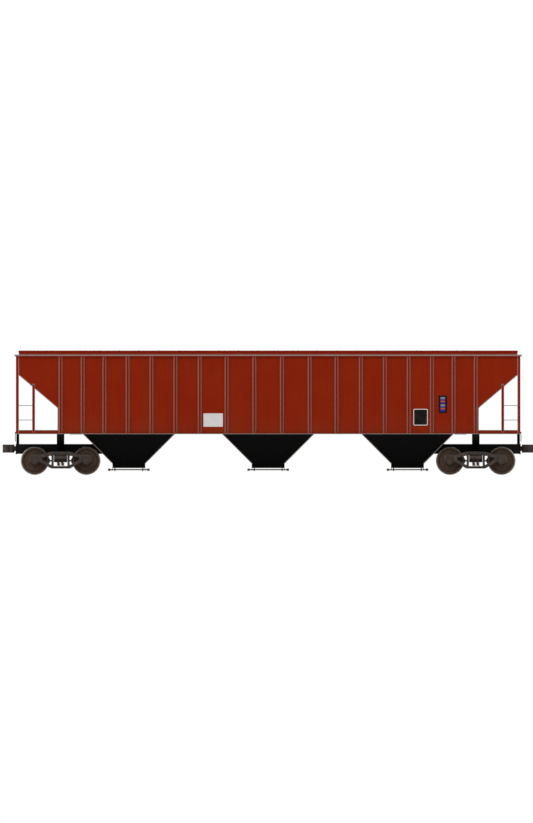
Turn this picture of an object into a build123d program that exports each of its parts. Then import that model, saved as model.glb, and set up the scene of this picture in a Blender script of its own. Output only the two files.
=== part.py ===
from build123d import *
import os
from math import ceil, cos, floor, pi, radians, sin, sqrt, tan

os.makedirs("parts", exist_ok=True)

# Millimetres. X runs along the car, Y across it, Z up. The floor touches the wheel flanges at z = 0.

# Wheels and trucks
flange_height = 26.0
tread_radius = 457.0
axle_z = flange_height + tread_radius
wheel_back = 676.5
wheel_width = 145.0
axle_radius = 88.0
bearing_radius = 126.0
bearing_fit = 0.5
journal_y = 1003.0
half_wheelbase = 889.0
frame_thickness = 140.0
plate_top = 680.0
plate_radius = 200.0
centre_pin_radius = 22.0
seat_fit = 0.3

# Body
body_length = 17380.0
half_length = body_length / 2
body_half = 1540.0
sheet = 8.0
inner_half = body_half - sheet
sill_bottom = 1400.0
sill_height = 115.0
sill_top = sill_bottom + sill_height
flange = 12.0
side_height = 2740.0
eave_top = sill_bottom + side_height
eave_height = 62.0
eave_bottom = eave_top - eave_height
eave_overhang = 50.0
post_depth = 75.0
post_base = 142.0
post_face = 74.0
rail_half = body_half + post_depth + 10.0
truck_inset = 1537.0
truck_x = half_length - truck_inset
# Each post's place as a share of the distance from the middle of the car to the last post, over the truck.
post_shares = [0.0664, 0.2002, 0.3295, 0.4469, 0.5624, 0.6771, 0.7890, 0.8933, 1.0]
post_places = [truck_x * share for share in post_shares]

# Ends
corner_width = 102.0
angle_plate = 12.0
end_x = half_length - corner_width
window_inset = 1432.0
window_x = half_length - window_inset
end_sheet_height = 652.0
end_sheet_bottom = eave_bottom - end_sheet_height
end_slope = radians(40.26)
window_top = end_sheet_bottom - (end_x - window_x) * tan(end_slope)
middle_post_inset = 608.0
middle_post_x = half_length - middle_post_inset
middle_post_width = 97.0
middle_post_depth = 50.0
middle_post_lap = 100.0
middle_post_top = end_sheet_bottom - (end_x - middle_post_x) * tan(end_slope) + middle_post_lap
rung_radius = 11.0
grab_lifts = [486.0, 985.0]
grab_heights = [sill_bottom + lift for lift in grab_lifts]

# Roof
roof_rise = 70.0
roof_sheet = 6.0
coaming_half = 320.0
coaming_wall = 8.0
coaming_lift = 42.0
coaming_top = eave_top + roof_rise + coaming_lift
roof_end_length = 1768.0
trough_half = end_x - roof_end_length
lid_wall = 8.0
lid_play = 12.0
lid_half = coaming_half + lid_play + lid_wall
lid_rest = 6.0
lid_edge_z = coaming_top + lid_rest + lid_wall
lid_crown = 14.0
lid_skirt = 38.0
lid_gap = 10.0
lid_count = 4
hinge_offset = 38.0
hinge_y = lid_half + hinge_offset
hinge_drop = 4.0
hinge_z = lid_edge_z - hinge_drop
hinge_pin = 8.0
hinge_barrel = 16.0
hinge_fit = 0.3
hinge_width = 60.0
hinge_play = 5.0
lug_width = 12.0
board_gap = 47.0
board_width = 310.0
board_inner = hinge_y + board_gap
board_outer = board_inner + board_width
board_depth = 40.0
board_lift = 24.0
board_low = eave_top + roof_rise + roof_sheet + board_lift
board_top = board_low + board_depth
board_inset = 90.0
board_half = half_length - board_inset

# Hoppers
hopper_inset = 2353.0
hopper_pitch = truck_x - hopper_inset
hopper_depth = 1000.0
hopper_bottom = sill_bottom - hopper_depth
hopper_top_half = 1565.0
hopper_half = hopper_top_half - hopper_depth
hopper_bottom_y = 340.0
plate = 10.0
ridge_gap = 12.0
ridge_leg = 120.0
hopper_places = [-hopper_pitch, 0.0, hopper_pitch]

# Outlets
outlet_half = 200.0
outlet_bottom = hopper_bottom - (hopper_bottom_y - outlet_half)
outlet_wall = 12.0
gate_plate = 12.0
gate_seat = 0.5
gate_head = 7.5
gate_lap = 12.0
gate_tail = 100.0
gate_travel = 420.0
module = 10.0
pinion_teeth = 8
pitch_radius = module * pinion_teeth / 2
addendum = 0.9 * module
dedendum = 1.2 * module
rack_bar = 14.0
rack_inset = 85.0
rack_x = hopper_half - rack_inset
rack_width = 40.0
shaft_radius = 20.0
shaft_fit = 0.3

# Underframe
coupler_height = 876.0
coupler_z = flange_height + coupler_height
stub_half = 190.0
stub_wall = 16.0
stub_bottom = plate_top + 40.0
stub_top = 1060.0
stub_end = half_length - 10.0
striker_half = 20.0
bolster_width = 260.0
bolster_tip = 208.0
coupler_reach = 380.0
pull_face = half_length + coupler_reach
coupler_back = 440.0
coupler_pivot = half_length - coupler_back
coupler_pin = 45.0
pin_fit = 0.3

nodes = {}


def prism(points, direction):
    wire = Wire.make_polygon([Vector(*p) for p in points], close=True)
    return Solid.extrude(Face(wire), Vector(*direction))


def prism_x(points, x0, x1):
    return prism([(x0, y, z) for y, z in points], (x1 - x0, 0, 0))


def prism_y(points, y0, y1):
    return prism([(x, y0, z) for x, z in points], (0, y1 - y0, 0))


def prism_z(points, z0, z1):
    return prism([(x, y, z0) for x, y in points], (0, 0, z1 - z0))


def block(x0, x1, y0, y1, z0, z1):
    return prism_z([(x0, y0), (x1, y0), (x1, y1), (x0, y1)], z0, z1)


def rod(start, end, radius):
    a = Vector(*start)
    b = Vector(*end)
    return Solid.make_cylinder(radius, (b - a).length, Plane(origin=a, z_dir=b - a))


def ring(u, v, radius, sides):
    turns = [2 * pi * (i + 0.5) / sides for i in range(sides)]
    return [(u + radius * cos(a), v + radius * sin(a)) for a in turns]


def both_sides(solids):
    return solids + [s.mirror(Plane.XZ) for s in solids]


def both_ends(solids):
    return solids + [s.mirror(Plane.YZ) for s in solids]


def turned(solids):
    return solids + [s.rotate(Axis.Z, 180) for s in solids]


def moved(solids, x, y=0.0, z=0.0):
    return [s.moved(Location((x, y, z))) for s in solids]


def joined(first, *others):
    return first.fuse(*others).clean().solids()[0]


def without(first, *others):
    return first.cut(*others).solids()[0]


def node(name, solids):
    nodes[name] = solids


# Side sheets and posts
main_sheet = block(-window_x, window_x, inner_half, body_half, sill_top, eave_bottom)
node("side_sheets", both_sides([main_sheet]))

end_corner = [
    (window_x, eave_bottom),
    (window_x, window_top),
    (end_x, end_sheet_bottom),
    (end_x, eave_bottom),
]
node("end_side_sheets", both_ends(both_sides([prism_y(end_corner, inner_half, body_half)])))


def hat(x, base, face, depth, wall, z0, z1):
    y0 = body_half
    y1 = body_half + depth
    outline = [
        (x - base / 2, y0),
        (x - face / 2, y1),
        (x + face / 2, y1),
        (x + base / 2, y0),
        (x + base / 2 - wall, y0),
        (x + face / 2 - wall, y1 - wall),
        (x - face / 2 + wall, y1 - wall),
        (x - base / 2 + wall, y0),
    ]
    return prism_z(outline, z0, z1)


posts = [
    hat(s * x, post_base, post_face, post_depth, sheet, sill_bottom + flange, eave_bottom)
    for x in post_places
    for s in (-1, 1)
]
node("side_posts", both_sides(posts))

sill_web = block(-end_x, end_x, inner_half, body_half, sill_bottom, sill_top)
sill_foot = block(-half_length, half_length, inner_half, rail_half - 3, sill_bottom, sill_bottom + flange)
node("side_sills", both_sides([joined(sill_web, sill_foot)]))

eave_reach = half_length + eave_overhang
eave_rail = block(-eave_reach, eave_reach, inner_half, rail_half, eave_bottom, eave_top)
node("eave_rails", both_sides([eave_rail]))

# Roof
roof_low = eave_top
roof_high = eave_top + roof_rise


def roof_z(y):
    return roof_high + roof_sheet - roof_rise * (y - coaming_half) / (inner_half - coaming_half)


roof_outline = [
    (rail_half - 10, roof_low),
    (rail_half - 10, roof_low + roof_sheet),
    (inner_half, roof_low + roof_sheet),
    (coaming_half, roof_high + roof_sheet),
    (coaming_half, roof_high),
    (inner_half, roof_low),
]
node("roof_sheets", both_sides([prism_x(roof_outline, -end_x, end_x)]))
roof_end = block(trough_half, end_x, -coaming_half, coaming_half, roof_high, roof_high + roof_sheet)
node("roof_end_plates", both_ends([roof_end]))

coaming_bottom = roof_high - 14.0
coaming_in = coaming_half - coaming_wall
trough_in = trough_half - coaming_wall
coaming = without(
    block(-trough_half, trough_half, -coaming_half, coaming_half, coaming_bottom, coaming_top),
    block(-trough_in, trough_in, -coaming_in, coaming_in, coaming_bottom - 1, coaming_top + 1),
)
node("hatch_coaming", [coaming])

board_outline = [
    (board_inner, board_top),
    (board_outer, board_top),
    (board_outer, board_low),
    (board_outer - 5, board_low),
    (board_outer - 5, roof_z(board_outer - 5)),
    (board_outer - 20, roof_z(board_outer - 20)),
    (board_outer - 20, board_low),
    (board_inner + 20, board_low),
    (board_inner + 20, roof_z(board_inner + 20)),
    (board_inner + 5, roof_z(board_inner + 5)),
    (board_inner + 5, board_low),
    (board_inner, board_low),
]
node("running_boards", both_sides([prism_x(board_outline, -board_half, board_half)]))

walk_width = 300.0
walk_x = trough_half + (roof_end_length - walk_width) / 2
walk = block(walk_x, walk_x + walk_width, -board_inner, board_inner, board_low, board_top)
foot_y = 200.0
walk_feet = [
    block(walk_x, walk_x + walk_width, y - 8, y + 8, roof_high + roof_sheet, board_low + 1)
    for y in (-foot_y, foot_y)
]
node("cross_walks", both_ends([joined(walk, *walk_feet)]))

# Hatch lids, hinged along the far side of the trough
lid_reach = trough_half + lid_play + lid_wall
lid_pitch = 2 * lid_reach / lid_count
lid_length = lid_pitch - lid_gap
hinge_shares = [-0.32, 0.32]


def arched(half, z0, z1, crown, x0, x1):
    face = make_face(
        Polyline((-half, z1), (-half, z0), (half, z0), (half, z1))
        + ThreePointArc((half, z1), (0, z1 + crown), (-half, z1))
    )
    return extrude(Plane.YZ.offset(x0) * face, x1 - x0).solids()[0]


hinges = []
for i in range(lid_count):
    middle = -lid_reach + (i + 0.5) * lid_pitch
    x0 = middle - lid_length / 2
    x1 = middle + lid_length / 2
    low = lid_edge_z - lid_skirt
    inner = lid_half - lid_wall
    ceiling = lid_edge_z - lid_wall
    shell = without(
        arched(lid_half, low, lid_edge_z, lid_crown, x0, x1),
        arched(inner, low - 1, ceiling, lid_crown, x0 + lid_wall, x1 - lid_wall),
    )
    # Where two lids meet, their end skirts stop above the coaming.
    for xe, meets in ((x0 + lid_wall / 2, i > 0), (x1 - lid_wall / 2, i < lid_count - 1)):
        if meets:
            shell = without(shell, block(xe - lid_wall, xe + lid_wall, -inner, inner, low - 1, ceiling))
    straps = []
    for share in hinge_shares:
        xh = middle + share * lid_length
        xa = xh - hinge_width / 2
        xb = xh + hinge_width / 2
        strap = block(xa, xb, lid_half - 2, hinge_y, lid_edge_z - 16, lid_edge_z - 2)
        barrel = prism_x(ring(hinge_y, hinge_z, hinge_barrel, 8), xa, xb)
        bore = rod((xa - 1, hinge_y, hinge_z), (xb + 1, hinge_y, hinge_z), hinge_pin + hinge_fit)
        straps.append(without(joined(strap, barrel), bore))
        lug_outline = [
            (hinge_y - hinge_barrel, roof_z(hinge_y - hinge_barrel)),
            (hinge_y + hinge_barrel, roof_z(hinge_y + hinge_barrel)),
            (hinge_y + hinge_barrel, hinge_z + 4),
            (hinge_y + 6, hinge_z + hinge_barrel),
            (hinge_y - 6, hinge_z + hinge_barrel),
            (hinge_y - hinge_barrel, hinge_z + 4),
        ]
        reach = hinge_width / 2 + hinge_play
        lugs = [
            prism_x(lug_outline, xh - reach - lug_width, xh - reach),
            prism_x(lug_outline, xh + reach, xh + reach + lug_width),
        ]
        pin = prism_x(ring(hinge_y, hinge_z, hinge_pin, 12), xh - reach - 2, xh + reach + 2)
        hinges.append(joined(pin, *lugs))
    node(f"hatch_lid_{i + 1}", [joined(shell, *straps)])
node("hatch_hinges", hinges)

# Ends: sheets, posts, sills, platforms
end_outline = [
    (-inner_half, end_sheet_bottom),
    (inner_half, end_sheet_bottom),
    (inner_half, roof_low),
    (coaming_half, roof_high),
    (-coaming_half, roof_high),
    (-inner_half, roof_low),
]
node("end_sheets", both_ends([prism_x(end_outline, end_x - sheet, end_x)]))

# The end slope sheet meets the outer hopper slope sheet where their undersides cross.
outer_foot = hopper_pitch + hopper_half
slope_fall = (end_x - outer_foot) * tan(end_slope)
kink_rise = (end_sheet_bottom - slope_fall - hopper_bottom) / (1 - tan(end_slope))
kink_x = outer_foot + kink_rise
kink_z = hopper_bottom + kink_rise
kink_mid = (pi / 4 + end_slope) / 2
kink_length = plate / cos((pi / 4 - end_slope) / 2)
kink_in = (kink_x - kink_length * sin(kink_mid), kink_z + kink_length * cos(kink_mid))
slope_in = (end_x - sheet, end_sheet_bottom - sheet * tan(end_slope) + plate / cos(end_slope))
end_slope_outline = [
    (kink_x, kink_z),
    (end_x - sheet, end_sheet_bottom - sheet * tan(end_slope)),
    slope_in,
    kink_in,
]
node("end_slope_sheets", both_ends([prism_y(end_slope_outline, -inner_half, inner_half)]))

side_leg = block(end_x, half_length, body_half - angle_plate, body_half, sill_bottom + flange, eave_bottom)
end_leg = block(
    half_length - angle_plate,
    half_length,
    body_half - corner_width,
    body_half,
    sill_bottom + flange,
    eave_bottom,
)
middle_post = hat(
    middle_post_x,
    middle_post_width,
    middle_post_width,
    middle_post_depth,
    sheet,
    sill_bottom + flange,
    middle_post_top,
)
node("end_posts", both_ends(both_sides([joined(side_leg, end_leg), middle_post])))

grab_y = body_half + middle_post_depth + 22.0
corner_x = end_x + corner_width / 2
grabs = []
for z in grab_heights:
    bar = prism_x(ring(grab_y, z, rung_radius, 8), middle_post_x - 15, corner_x + 15)
    feet = [
        block(corner_x - 13, corner_x + 13, body_half, grab_y, z - 8, z + 8),
        block(middle_post_x - 13, middle_post_x + 13, body_half + middle_post_depth, grab_y, z - 8, z + 8),
    ]
    grabs.append(joined(bar, *feet))
node("grab_irons", both_ends(both_sides(grabs)))

ladder_stile = 76.0
ladder_y = 1045.0
stile = block(end_x, end_x + ladder_stile, -ladder_y, -ladder_y + 20, sill_top, eave_bottom)
rung_pitch = (eave_bottom - sill_top) / 6.4
rungs = [
    block(end_x + 46, end_x + 70, angle_plate - body_half, 10 - ladder_y, z - 12, z + 12)
    for z in [sill_top + rung_pitch * (0.7 + i) for i in range(6)]
]
node("end_ladders", turned([joined(stile, *rungs)]))

end_sill_half = body_half - angle_plate - 2
end_sill_outline = [
    (-end_sill_half, sill_top),
    (end_sill_half, sill_top),
    (end_sill_half, sill_bottom),
    (stub_half + 240, sill_bottom),
    (stub_half, stub_top),
    (-stub_half, stub_top),
    (-stub_half - 240, sill_bottom),
    (-end_sill_half, sill_bottom),
]
end_sill_x = half_length - angle_plate - 2
node("end_sills", both_ends([prism_x(end_sill_outline, end_sill_x - 100, end_sill_x)]))

# Uncoupling levers: a bar in three brackets on the end sill, cranked down beside the coupler
lever_radius = 12.0
lever_gap = 24.0
lever_x = end_sill_x + lever_gap + lever_radius
lever_lift = 55.0
lever_z = sill_bottom + lever_lift
lever_inset = 180.0
lever_in = stub_half + 30.0
lever_out = body_half - lever_inset
crank_drop = 260.0
handle_drop = 300.0
handle_grip = 120.0
bracket_half = 12.0
bracket_height = 50.0
bracket_inset = 135.0
bracket_places = [lever_in + bracket_inset, (lever_in + lever_out) / 2, lever_out - bracket_inset]


def lever_bar(y0, y1, z):
    return prism_y(ring(lever_x, z, lever_radius, 8), y0 - lever_radius, y1 + lever_radius)


def lever_arm(y, drop):
    return prism_z(ring(lever_x, y, lever_radius, 8), lever_z - drop - lever_radius, lever_z + lever_radius)


bracket_low = lever_z - bracket_height / 2
bracket_top = lever_z + bracket_height / 2
brackets = [
    block(end_sill_x, lever_x + lever_radius, y - bracket_half, y + bracket_half, bracket_low, bracket_top)
    for y in bracket_places
]
lever = joined(
    lever_bar(lever_in, lever_out, lever_z),
    lever_arm(lever_in, crank_drop),
    lever_arm(lever_out, handle_drop),
    lever_bar(lever_out - handle_grip, lever_out, lever_z - handle_drop),
    *brackets,
)
node("uncoupling_levers", turned([lever]))

platform_top = sill_bottom + 30.0
tank_radius = 180.0
gear_x = window_x - tank_radius - 20.0
platform_in = gear_x - tank_radius - 40.0
platform = block(platform_in, end_sill_x - 100, 2 - inner_half, inner_half - 2, sill_bottom, platform_top)
node("end_platforms", both_ends([platform]))

# Hoppers
ridge_rise = hopper_pitch / 2 - hopper_half
root_half = sqrt(0.5)


def width_at(rise):
    return hopper_bottom_y + (inner_half - hopper_bottom_y) * min(rise, hopper_depth) / hopper_depth


def slope_plate(xc, side, rise):
    foot = xc + side * hopper_half
    levels = [0.0, hopper_depth, rise]
    edge = [(foot + side * h, width_at(h), hopper_bottom + h) for h in levels]
    outline = edge + [(x, -y, z) for x, y, z in reversed(edge)]
    return prism(outline, (-side * plate * root_half, 0, plate * root_half))


def hopper_side(xc):
    top = hopper_half + hopper_depth
    outline = [
        (xc - hopper_half, hopper_bottom_y, hopper_bottom),
        (xc + hopper_half, hopper_bottom_y, hopper_bottom),
        (xc + top, inner_half, sill_bottom),
        (xc - top, inner_half, sill_bottom),
    ]
    run = inner_half - hopper_bottom_y
    length = sqrt(run**2 + hopper_depth**2)
    return prism(outline, (0, -plate * hopper_depth / length, plate * run / length))


def hopper_plates(xc, rise_left, rise_right):
    slopes = [slope_plate(xc, -1, rise_left), slope_plate(xc, 1, rise_right)]
    sides = [without(s, *slopes) for s in both_sides([hopper_side(xc)])]
    return slopes, sides


inner_rise = ridge_rise - ridge_gap
hopper_rows = [
    ("hopper_1", -hopper_pitch, kink_rise, inner_rise),
    ("hopper_2", 0.0, inner_rise, inner_rise),
    ("hopper_3", hopper_pitch, inner_rise, kink_rise),
]
for name, xc, rise_left, rise_right in hopper_rows:
    slopes, sides = hopper_plates(xc, rise_left, rise_right)
    node(name + "_slope_sheets", slopes)
    node(name + "_side_sheets", sides)

ridge_x = hopper_pitch / 2
ridge_z = hopper_bottom + ridge_rise + plate / root_half
ridge_run = ridge_leg * root_half
ridge_outline = [
    (ridge_x, ridge_z),
    (ridge_x + ridge_run, ridge_z - ridge_run),
    (ridge_x + ridge_run, ridge_z - ridge_run + plate / root_half),
    (ridge_x, ridge_z + plate / root_half),
    (ridge_x - ridge_run, ridge_z - ridge_run + plate / root_half),
    (ridge_x - ridge_run, ridge_z - ridge_run),
]
node("ridge_caps", both_ends([prism_y(ridge_outline, -inner_half, inner_half)]))

# Outlets: a chute with runner rails, a gate that slides across the car, and its pinion shaft
gate_half_x = hopper_half - 20.0
gate_low = outlet_bottom - gate_head - gate_plate
ledge_top = gate_low - gate_seat
gate_start = -outlet_half - gate_lap
gate_end = outlet_half + gate_lap + gate_tail - 12.0
runway_end = gate_end + gate_travel + 6.0
pinion_y = gate_end - 44.0
rack_low = gate_low - rack_bar
pitch_z = rack_low - dedendum
shaft_z = pitch_z - pitch_radius
tooth_pitch = pi * module

chute = without(
    prism_x(
        [
            (-hopper_bottom_y, hopper_bottom),
            (hopper_bottom_y, hopper_bottom),
            (outlet_half + outlet_wall, outlet_bottom),
            (-outlet_half - outlet_wall, outlet_bottom),
        ],
        -hopper_half,
        hopper_half,
    ),
    prism_x(
        [
            (-hopper_bottom_y + outlet_wall, hopper_bottom + 0.01),
            (hopper_bottom_y - outlet_wall, hopper_bottom + 0.01),
            (outlet_half, outlet_bottom - 0.01),
            (-outlet_half, outlet_bottom - 0.01),
        ],
        -hopper_half + outlet_wall,
        hopper_half - outlet_wall,
    ),
)
runway_start = gate_start - 6.0
rail_wall = hopper_half - 14.0
rails = both_ends(
    [
        block(hopper_half - 30, hopper_half, runway_start, runway_end, ledge_top - 12, ledge_top),
        block(rail_wall, hopper_half, runway_start, runway_end, ledge_top - 12, outlet_bottom + 2),
        block(rail_wall, hopper_half, pinion_y - 32, pinion_y + 32, shaft_z - 36, ledge_top),
    ]
)
rail_end = block(-hopper_half, hopper_half, runway_end, runway_end + 12, ledge_top - 12, outlet_bottom)
outlet = joined(chute, *rails, rail_end)
bore_end = hopper_half + 1
shaft_bore = rod((-bore_end, pinion_y, shaft_z), (bore_end, pinion_y, shaft_z), shaft_radius + shaft_fit)
outlet = without(outlet, shaft_bore)
node("outlet_chutes", [s for x in hopper_places for s in moved([outlet], x)])


def rack(x):
    rack_high = gate_low + 1
    points = [(gate_end, rack_low), (gate_end, rack_high), (gate_start, rack_high), (gate_start, rack_low)]
    tip = pitch_z - addendum
    first = ceil((gate_start - pinion_y) / tooth_pitch - 0.1)
    last = floor((gate_end - pinion_y) / tooth_pitch - 0.9)
    for i in range(first, last + 1):
        y = pinion_y + (i + 0.5) * tooth_pitch
        points += [
            (y - 0.29 * tooth_pitch, rack_low),
            (y - 0.11 * tooth_pitch, tip),
            (y + 0.11 * tooth_pitch, tip),
            (y + 0.29 * tooth_pitch, rack_low),
        ]
    return prism_x(points, x - rack_width / 2, x + rack_width / 2)


def pinion(x):
    points = []
    for i in range(pinion_teeth):
        a = pi / 2 + 2 * pi * i / pinion_teeth
        for radius, half in (
            (pitch_radius - dedendum, -0.30),
            (pitch_radius + addendum, -0.065),
            (pitch_radius + addendum, 0.065),
            (pitch_radius - dedendum, 0.30),
        ):
            points.append((pinion_y + radius * cos(a + half), shaft_z + radius * sin(a + half)))
    return prism_x(points, x - rack_width / 2 + 2, x + rack_width / 2 - 2)


gate = joined(
    block(-gate_half_x, gate_half_x, gate_start, gate_end, gate_low, gate_low + gate_plate),
    rack(-rack_x),
    rack(rack_x),
)
shaft_reach = hopper_half + 70.0
capstan = 80.0
shaft = joined(
    prism_x(ring(pinion_y, shaft_z, shaft_radius, 16), -shaft_reach - capstan, shaft_reach + capstan),
    pinion(-rack_x),
    pinion(rack_x),
    block(shaft_reach, shaft_reach + capstan, pinion_y - 42, pinion_y + 42, shaft_z - 42, shaft_z + 42),
    block(-shaft_reach - capstan, -shaft_reach, pinion_y - 42, pinion_y + 42, shaft_z - 42, shaft_z + 42),
)
for i, x in enumerate(hopper_places):
    node(f"outlet_gate_{i + 1}", moved([gate], x))
    node(f"gate_shaft_{i + 1}", moved([shaft], x))

# Underframe
slope_gap = 0.3


def slope_x(z):
    return hopper_pitch + hopper_half + z - hopper_bottom + slope_gap


stub_outline = [
    (stub_end, stub_bottom),
    (stub_end, stub_top),
    (slope_x(stub_top), stub_top),
    (slope_x(stub_bottom), stub_bottom),
]
hollow_half = stub_half - stub_wall
hollow = block(
    slope_x(stub_bottom) - 10, stub_end + 1, -hollow_half, hollow_half, 0, stub_top - stub_wall
)
striker_outline = [
    (stub_half + 40, stub_bottom - 20),
    (stub_half + 40, stub_top - 60),
    (stub_half, stub_top),
    (-stub_half, stub_top),
    (-stub_half - 40, stub_top - 60),
    (-stub_half - 40, stub_bottom - 20),
]
striker = without(
    prism_x(striker_outline, stub_end - striker_half, stub_end + striker_half),
    block(stub_end - 30, stub_end + 30, -150, 150, coupler_z - 115, coupler_z + 115),
)
centre_block = block(
    truck_x - bolster_width,
    truck_x + bolster_width,
    -hollow_half - 1,
    hollow_half + 1,
    stub_bottom,
    stub_bottom + 40,
)
centre_plate = rod((truck_x, 0, plate_top), (truck_x, 0, stub_bottom + 1), plate_radius)
centre_pin = prism_z(ring(truck_x, 0, centre_pin_radius, 12), plate_top - 110, plate_top + 1)
channel = without(prism_y(stub_outline, -stub_half, stub_half), hollow)
stub = joined(channel, striker, centre_block, centre_plate, centre_pin)
node("stub_sills", both_ends([stub]))

bolster_end = rail_half - 10.0
bolster_outline = [
    (bolster_end, sill_bottom),
    (bolster_end, sill_bottom - bolster_tip),
    (1150, sill_bottom - bolster_tip),
    (stub_half, stub_bottom + 60),
    (stub_half, stub_top),
]
bolster_outline += [(-y, z) for y, z in reversed(bolster_outline)]
body_bolster = prism_x(bolster_outline, truck_x - bolster_width / 2, truck_x + bolster_width / 2)
node("body_bolsters", both_ends([body_bolster]))

yoke_gap = 5.0
yoke_strap = 25.0
yoke_half = 100.0
yoke_length = 500.0
yoke_front = coupler_pivot + 80.0
yoke_back = yoke_front - yoke_length
gear_length = 300.0
gear_lap = 20.0
shank_half_z = 85.0
yoke_low = shank_half_z + yoke_gap
yoke_high = yoke_low + yoke_strap
draft = joined(
    block(
        yoke_back + gear_lap - gear_length,
        yoke_back + gear_lap,
        -hollow_half,
        hollow_half,
        coupler_z - yoke_high,
        coupler_z + yoke_high,
    ),
    block(yoke_back, yoke_front, -yoke_half, yoke_half, coupler_z + yoke_low, coupler_z + yoke_high),
    block(yoke_back, yoke_front, -yoke_half, yoke_half, coupler_z - yoke_high, coupler_z - yoke_low),
    prism_z(ring(coupler_pivot, 0, coupler_pin, 16), coupler_z - yoke_high + 5, coupler_z + yoke_high - 5),
)
node("draft_gears", both_ends([draft]))

# Couplers: shank, head and a swinging knuckle
head_half_z = 140.0
ear_z = 95.0
knuckle_half_z = 90.0
knuckle_pin = 20.0
knuckle_u = -80.0
knuckle_v = 120.0
head_points = [
    (-330, -65),
    (-250, -150),
    (-120, -190),
    (70, -205),
    (78, -150),
    (-20, -120),
    (-110, -60),
    (-138, 10),
    (-150, 60),
    (-160, 150),
    (-250, 150),
    (-330, 65),
]
ear_points = [(-165, 55), (-165, 160), (-120, 178), (-50, 175), (-25, 120), (-60, 60)]
knuckle_points = [
    (-125, 150),
    (-60, 172),
    (20, 150),
    (62, 100),
    (72, 30),
    (66, -25),
    (40, -42),
    (12, -30),
    (8, 40),
    (-20, 72),
    (-70, 72),
    (-125, 88),
]


def coupler_face(points):
    return [(pull_face + u, v) for u, v in points]


shank_eye = prism_z(ring(coupler_pivot, 0, 85, 20), coupler_z - shank_half_z, coupler_z + shank_half_z)
shank = block(coupler_pivot, pull_face - 310, -65, 65, coupler_z - shank_half_z, coupler_z + shank_half_z)
bore_low = coupler_z - 200.0
bore_high = coupler_z + 200.0
eye_bore = rod((coupler_pivot, 0, bore_low), (coupler_pivot, 0, bore_high), coupler_pin + pin_fit)
knuckle_x = pull_face + knuckle_u
coupler = joined(
    shank_eye,
    shank,
    prism_z(coupler_face(head_points), coupler_z - head_half_z, coupler_z + head_half_z),
    prism_z(coupler_face(ear_points), coupler_z + ear_z, coupler_z + head_half_z),
    prism_z(coupler_face(ear_points), coupler_z - head_half_z, coupler_z - ear_z),
    prism_z(ring(knuckle_x, knuckle_v, knuckle_pin, 16), coupler_z - head_half_z, coupler_z + head_half_z),
)
coupler = without(coupler, eye_bore)
knuckle = without(
    prism_z(coupler_face(knuckle_points), coupler_z - knuckle_half_z, coupler_z + knuckle_half_z),
    rod((knuckle_x, knuckle_v, bore_low), (knuckle_x, knuckle_v, bore_high), knuckle_pin + pin_fit),
)
for letter, angle in (("a", 180), ("b", 0)):
    node("coupler_" + letter, [coupler.rotate(Axis.Z, angle)])
    node("knuckle_" + letter, [knuckle.rotate(Axis.Z, angle)])

# Air brake gear on the platform over one bolster, and the hand brake at that end
tank_z = platform_top + 60.0 + tank_radius
tank_outer = 282.0 - inner_half
tank_inner = -150.0
tank_foot = 100.0
foot_width = 40.0
tank = joined(
    rod((-gear_x, tank_outer, tank_z), (-gear_x, tank_inner, tank_z), tank_radius),
    *[
        block(-gear_x - 60, -gear_x + 60, y, y + foot_width, platform_top, tank_z)
        for y in (tank_outer + tank_foot, tank_inner - tank_foot - foot_width)
    ],
)
node("air_reservoir", [tank])
cylinder_radius = 130.0
cylinder_z = platform_top + 40.0 + cylinder_radius
cylinder_start = 150.0
cylinder_length = 450.0
cylinder_end = cylinder_start + cylinder_length
push_rod = 160.0
cylinder = joined(
    rod((-gear_x, cylinder_start, cylinder_z), (-gear_x, cylinder_end, cylinder_z), cylinder_radius),
    prism_y(ring(-gear_x, cylinder_z, 30, 12), cylinder_end - 10, cylinder_end + push_rod),
    block(-gear_x - 50, -gear_x + 50, cylinder_start + 100, cylinder_end - 100, platform_top, cylinder_z),
)
node("brake_cylinder", [cylinder])
valve_end = inner_half - 282.0
valve_start = valve_end - 300.0
valve_top = platform_top + 200.0
valve = joined(
    block(-gear_x - 90, -gear_x + 90, valve_start, valve_end, platform_top, valve_top),
    prism_z(ring(-gear_x, valve_start + 80, 70, 16), valve_top - 10, valve_top + 120),
    prism_z(ring(-gear_x, valve_end - 70, 60, 16), valve_top - 10, valve_top + 80),
)
node("brake_valve", [valve])

brake_y = -620.0
brake_lift = 950.0
brake_z = sill_bottom + brake_lift
brake_wheel_radius = 270.0
stanchion = block(-end_x - 30, -end_x, brake_y - 40, brake_y + 40, sill_top, end_sheet_bottom + 150)
housing = block(-end_x - 62, -end_x, brake_y - 110, brake_y + 110, brake_z - 190, brake_z + 120)
wheel_ring = without(
    prism_x(ring(brake_y, brake_z, brake_wheel_radius, 24), -half_length, 24 - half_length),
    prism_x(ring(brake_y, brake_z, brake_wheel_radius - 24, 24), -half_length - 1, 25 - half_length),
)
wheel_hub = prism_x(ring(brake_y, brake_z, 45, 12), -half_length, -end_x - 60)
spoke = brake_wheel_radius - 14
spokes = [
    block(2 - half_length, 20 - half_length, brake_y - spoke, brake_y + spoke, brake_z - 12, brake_z + 12),
    block(2 - half_length, 20 - half_length, brake_y - 12, brake_y + 12, brake_z - spoke, brake_z + spoke),
]
node("hand_brake", [joined(stanchion, housing, wheel_ring, wheel_hub, *spokes)])

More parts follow.
